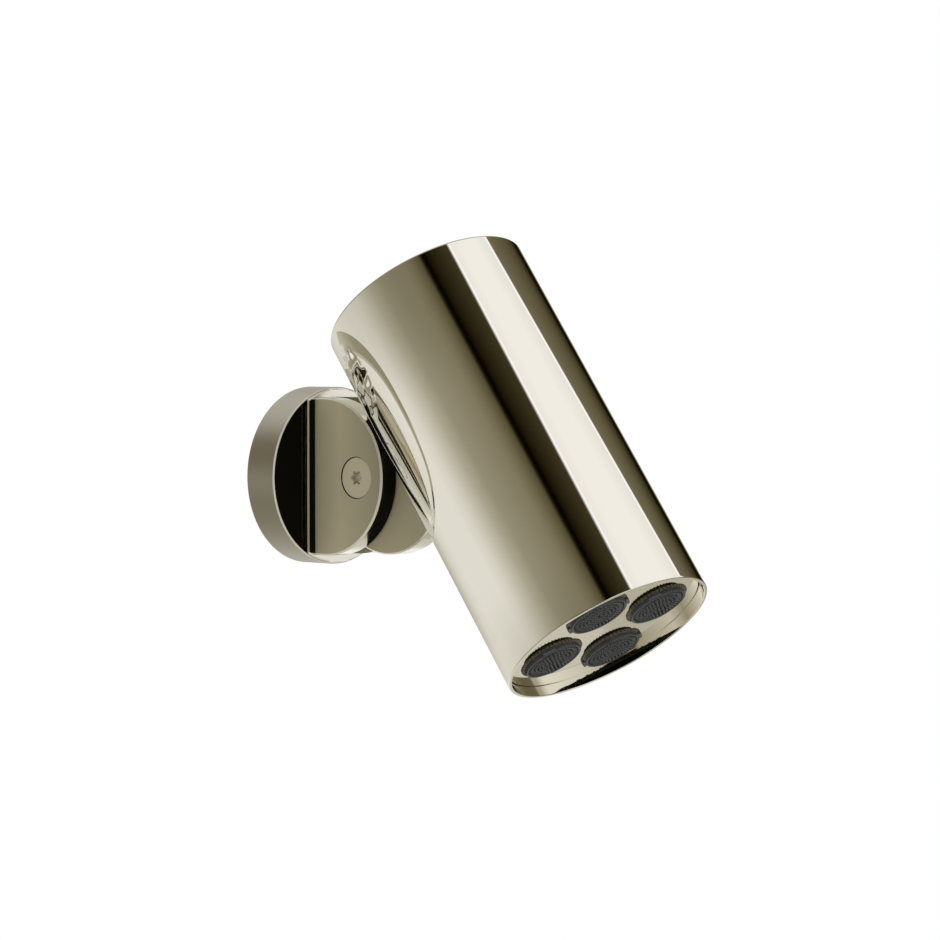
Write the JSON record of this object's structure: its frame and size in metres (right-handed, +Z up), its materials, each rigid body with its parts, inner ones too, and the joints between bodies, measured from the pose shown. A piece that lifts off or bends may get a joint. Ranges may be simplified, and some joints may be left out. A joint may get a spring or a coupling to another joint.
{
  "type": "wall shower head",
  "caption": "Cylindrical wall-mounted shower head on a swivelling and tilting round knuckle, with a recessed plate of round spray inserts.",
  "frame": {"origin": "centre of the wall flange's back face, where the male thread leaves it, on the finished wall", "axes": "+Z up, the wall is the XZ plane, +Y points into the wall along the thread, -Y into the room, +X to the right seen from the room"},
  "size_m": [0.07, 0.1735, 0.1481],
  "materials": {
    "nickel": "polished nickel plate on brass",
    "brass": "turned brass",
    "spring_steel": "plain stainless",
    "seal": "black seal rubber",
    "hose_rubber": "hose rubber",
    "screen": "moulded screen washer",
    "slip_plastic": "slip washer plastic",
    "inner_plastic": "moulded plastic",
    "insert_plastic": "charcoal moulded plastic",
    "nozzle_rubber": "charcoal elastomer"
  },
  "bodies": {
    "wall": {"wall_body": "brass", "wall_gasket": "seal", "flange_seal": "seal", "inlet_filter": "screen", "flow_regulator": "inner_plastic", "flange_ring": "nickel"},
    "knuckle": {"knuckle_fork": "nickel", "slide_disc": "nickel", "swivel_snap_ring": "spring_steel", "swivel_seal": "seal", "pivot_sleeve": "brass", "screw_seal": "seal", "pivot_screw": "nickel", "friction_washers": "slip_plastic"},
    "head": {"knuckle_tongue": "nickel", "pivot_seals": "seal", "shell": "nickel", "inner_saddle": "brass", "saddle_screws": "spring_steel", "feed_nipple": "brass", "nipple_seal": "seal", "feed_hose": "hose_rubber", "spray_manifold": "inner_plastic", "manifold_seal": "seal", "manifold_screws": "spring_steel", "face_plate": "nickel", "insert_seals": "seal", "spray_insert_1": "insert_plastic", "nozzle_pad_1": "nozzle_rubber", "spray_insert_2": "insert_plastic", "nozzle_pad_2": "nozzle_rubber", "spray_insert_3": "insert_plastic", "nozzle_pad_3": "nozzle_rubber", "spray_insert_4": "insert_plastic", "nozzle_pad_4": "nozzle_rubber"}
  },
  "joints": [
    {"name": "swivel", "type": "hinge", "parent": "wall", "child": "knuckle", "pos_m": [0, 0, 0], "axis": [0, -1, 0], "continuous": true},
    {"name": "tilt", "type": "hinge", "parent": "knuckle", "child": "head", "pos_m": [0, -0.0328, 0], "axis": [-1, 0, 0], "range_deg": [-36, 9]}
  ]
}
